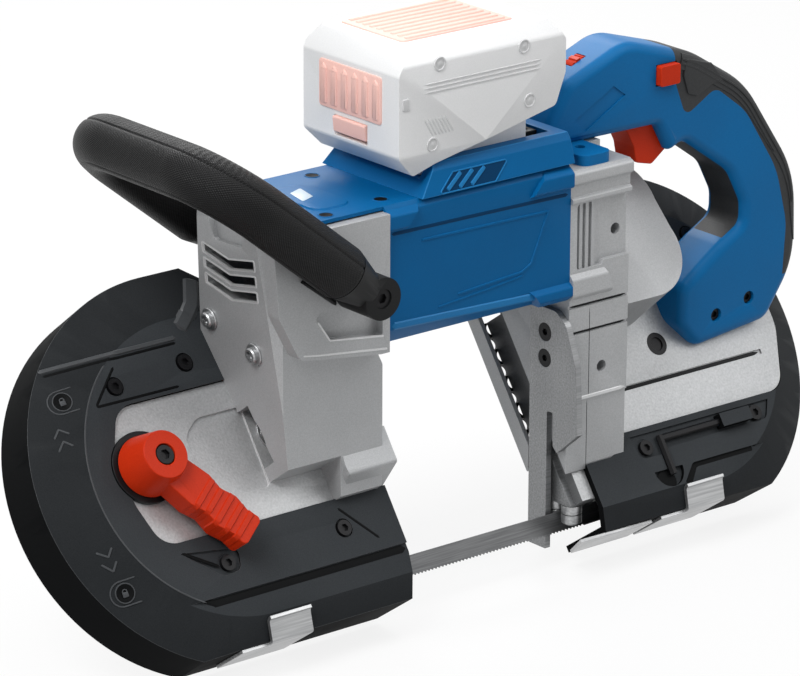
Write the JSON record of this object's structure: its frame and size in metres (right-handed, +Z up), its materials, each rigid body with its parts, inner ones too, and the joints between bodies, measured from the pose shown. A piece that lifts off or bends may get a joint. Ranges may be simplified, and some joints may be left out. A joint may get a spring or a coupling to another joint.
{
  "type": "portable band saw",
  "caption": "Hand-held cordless band saw: tilted wheel covers around an open throat with a work rest, a bow handle in front and a pistol handle with trigger behind.",
  "frame": {"origin": "on the face of the work rest, in the middle of its back leg and level with the blade's cutting run", "axes": "+X along the cutting run towards the rear handle, +Y away from the near side, +Z up"},
  "size_m": [0.5397, 0.1698, 0.3296],
  "materials": {
    "cover": "fine grain",
    "casting": "satin cast",
    "gear_case": "satin",
    "blue": "fine grain",
    "dock_plastic": "matt",
    "rubber": "matt",
    "tyre_rubber": "matt",
    "steel": "brushed",
    "black_screws": "black oxide",
    "wheel_metal": "cast",
    "red": "satin",
    "battery_grey": "matt",
    "battery_panel": "matt",
    "winding": "lacquered",
    "fan_plastic": "matt",
    "bracket": "machined"
  },
  "bodies": {
    "frame": {"idler_cover": "cover", "drive_cover": "cover", "cover_screws": "black_screws", "idler_frame": "casting", "drive_frame": "casting", "frame_bridge": "casting", "front_casting": "casting", "gear_housing": "gear_case", "motor_housing_front": "blue", "motor_housing_back": "blue", "stator": "winding", "ball_bearings": "steel", "axle_plug": "steel", "lever_seat": "steel", "tracking_nut": "steel", "blade": "steel", "guide_brackets": "bracket", "work_rest": "steel", "work_rest_screws": "black_screws", "throat_bar": "casting", "throat_guard": "dock_plastic", "guard_plate": "steel", "hook_feet": "steel", "battery_dock": "dock_plastic", "dock_terminals": "dock_plastic", "front_handle_core": "dock_plastic", "front_handle_grip": "rubber", "handle_bolts": "black_screws", "rear_handle_front": "blue", "rear_handle_back": "blue", "rear_grip": "rubber", "switch_module": "dock_plastic", "hex_key": "steel"},
    "drive_wheel": {"drive_wheel": "wheel_metal", "drive_tyre": "tyre_rubber", "drive_axle": "steel", "drive_gear": "steel"},
    "countershaft": {"countershaft": "steel", "crown_gear": "steel"},
    "rotor": {"motor_shaft": "steel", "rotor_core": "winding", "cooling_fan": "fan_plastic"},
    "tension_slide": {"tension_slide": "steel"},
    "idler_wheel": {"idler_wheel": "wheel_metal", "idler_tyre": "tyre_rubber"},
    "tension_lever": {"tension_lever": "red", "lever_screw": "steel", "tension_cam": "steel"},
    "trigger": {"trigger": "red"},
    "lock_button": {"lock_button": "red"},
    "speed_dial": {"speed_dial": "red"},
    "battery": {"battery_case": "battery_grey", "battery_panels": "battery_panel"},
    "battery_latch": {"battery_latch": "red"},
    "idler_near_rollers": {"idler_near_rollers": "steel"},
    "idler_far_rollers": {"idler_far_rollers": "steel"},
    "idler_thrust_roller": {"idler_thrust_roller": "steel"},
    "drive_near_rollers": {"drive_near_rollers": "steel"},
    "drive_far_rollers": {"drive_far_rollers": "steel"},
    "drive_thrust_roller": {"drive_thrust_roller": "steel"}
  },
  "joints": [
    {"name": "drive_wheel_spin", "type": "hinge", "parent": "frame", "child": "drive_wheel", "pos_m": [0.1027, 0.03599, 0.06553], "axis": [0, -0.8192, 0.5736], "continuous": true},
    {"name": "countershaft_spin", "type": "hinge", "parent": "frame", "child": "countershaft", "pos_m": [0.07408, 0.07884, 0.12673], "axis": [0, -0.8192, 0.5736], "continuous": true},
    {"name": "rotor_spin", "type": "hinge", "parent": "frame", "child": "rotor", "pos_m": [-0.056, 0.02199, 0.16653], "axis": [1, 0, 0], "continuous": true},
    {"name": "tension_lever_turn", "type": "hinge", "parent": "frame", "child": "tension_lever", "pos_m": [-0.264, 0.04029, 0.07168], "axis": [0, 0.8192, -0.5736], "range_deg": [0, 180]},
    {"name": "tension_slide_travel", "type": "slide", "parent": "frame", "child": "tension_slide", "axis": [1, 0, 0], "range_m": [0, 0.006]},
    {"name": "idler_wheel_spin", "type": "hinge", "parent": "tension_slide", "child": "idler_wheel", "pos_m": [-0.216, 0.03599, 0.06553], "axis": [0, -0.8192, 0.5736], "continuous": true},
    {"name": "trigger_squeeze", "type": "slide", "parent": "frame", "child": "trigger", "axis": [0.788, 0, 0.6157], "range_m": [0, 0.006], "stiffness_N_per_m": 500, "springref_m": -0.004},
    {"name": "lock_button_push", "type": "slide", "parent": "frame", "child": "lock_button", "axis": [0, 1, 0], "range_m": [-0.003, 0.003]},
    {"name": "speed_dial_turn", "type": "hinge", "parent": "frame", "child": "speed_dial", "pos_m": [0.046, 0.02199, 0.25153], "axis": [0, 1, 0], "range_deg": [-150, 150]},
    {"name": "battery_slide", "type": "slide", "parent": "frame", "child": "battery", "axis": [-1, 0, 0], "range_m": [0, 0.08]},
    {"name": "battery_latch_push", "type": "slide", "parent": "battery", "child": "battery_latch", "axis": [1, 0, 0], "range_m": [0, 0.003], "stiffness_N_per_m": 600, "springref_m": -0.003},
    {"name": "idler_near_rollers_spin", "type": "hinge", "parent": "frame", "child": "idler_near_rollers", "pos_m": [-0.127, -0.01645, 0], "axis": [0, 0, 1], "continuous": true},
    {"name": "idler_far_rollers_spin", "type": "hinge", "parent": "frame", "child": "idler_far_rollers", "pos_m": [-0.127, -0.00335, 0], "axis": [0, 0, 1], "continuous": true},
    {"name": "idler_thrust_roller_spin", "type": "hinge", "parent": "frame", "child": "idler_thrust_roller", "pos_m": [-0.1382, -0.0099, 0.0128], "axis": [0, 1, 0], "continuous": true},
    {"name": "drive_near_rollers_spin", "type": "hinge", "parent": "frame", "child": "drive_near_rollers", "pos_m": [0.012, -0.01645, 0], "axis": [0, 0, 1], "continuous": true},
    {"name": "drive_far_rollers_spin", "type": "hinge", "parent": "frame", "child": "drive_far_rollers", "pos_m": [0.012, -0.00335, 0], "axis": [0, 0, 1], "continuous": true},
    {"name": "drive_thrust_roller_spin", "type": "hinge", "parent": "frame", "child": "drive_thrust_roller", "pos_m": [0.0232, -0.0099, 0.0128], "axis": [0, 1, 0], "continuous": true}
  ],
  "couplings": [
    {"joint": "countershaft_spin", "follows": "drive_wheel_spin", "ratio": -4.3333},
    {"joint": "rotor_spin", "follows": "drive_wheel_spin", "ratio": 10.833},
    {"joint": "idler_wheel_spin", "follows": "drive_wheel_spin", "ratio": 1},
    {"joint": "tension_lever_turn", "follows": "tension_slide_travel", "rad_per_m": 523.6},
    {"joint": "idler_near_rollers_spin", "follows": "drive_wheel_spin", "ratio": -13.333},
    {"joint": "idler_far_rollers_spin", "follows": "drive_wheel_spin", "ratio": 13.333},
    {"joint": "idler_thrust_roller_spin", "follows": "drive_wheel_spin", "ratio": -13.333},
    {"joint": "drive_near_rollers_spin", "follows": "drive_wheel_spin", "ratio": -13.333},
    {"joint": "drive_far_rollers_spin", "follows": "drive_wheel_spin", "ratio": 13.333},
    {"joint": "drive_thrust_roller_spin", "follows": "drive_wheel_spin", "ratio": -13.333}
  ]
}
